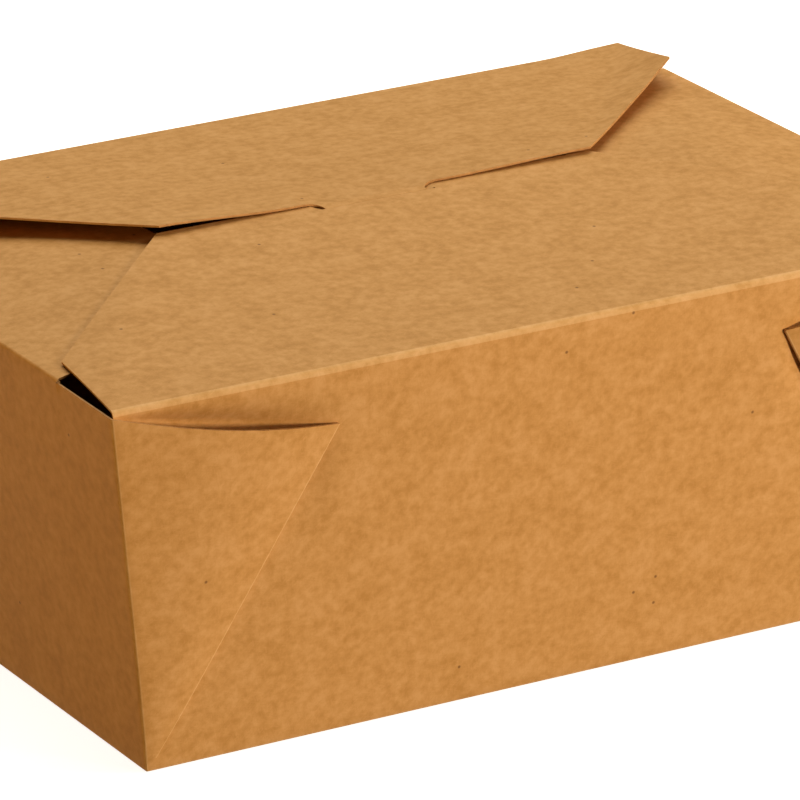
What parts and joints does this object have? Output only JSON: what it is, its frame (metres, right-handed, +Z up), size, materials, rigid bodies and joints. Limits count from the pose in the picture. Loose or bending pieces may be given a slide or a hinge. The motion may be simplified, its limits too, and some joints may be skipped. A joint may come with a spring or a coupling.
{
  "type": "takeaway box",
  "caption": "Folded kraft board takeaway box with leaning walls, corner webs folded onto the long walls, and four top flaps, the rear one locked by a tongue in a slit.",
  "frame": {"origin": "centre of the base, on the surface that it stands on", "axes": "+X along the length, -Y towards the front, +Z up"},
  "size_m": [0.2228, 0.1698, 0.095],
  "materials": {
    "kraft_board": "matte, unbleached, with fine fibres"
  },
  "bodies": {
    "box": {"carton": "kraft_board"},
    "flap": {"back_flap": "kraft_board"}
  },
  "joints": [
    {"name": "back_flap_fold", "type": "hinge", "parent": "box", "child": "flap", "pos_m": [0, 0.08228, 0.08878], "axis": [-1, 0, 0], "range_deg": [0, 180]}
  ]
}
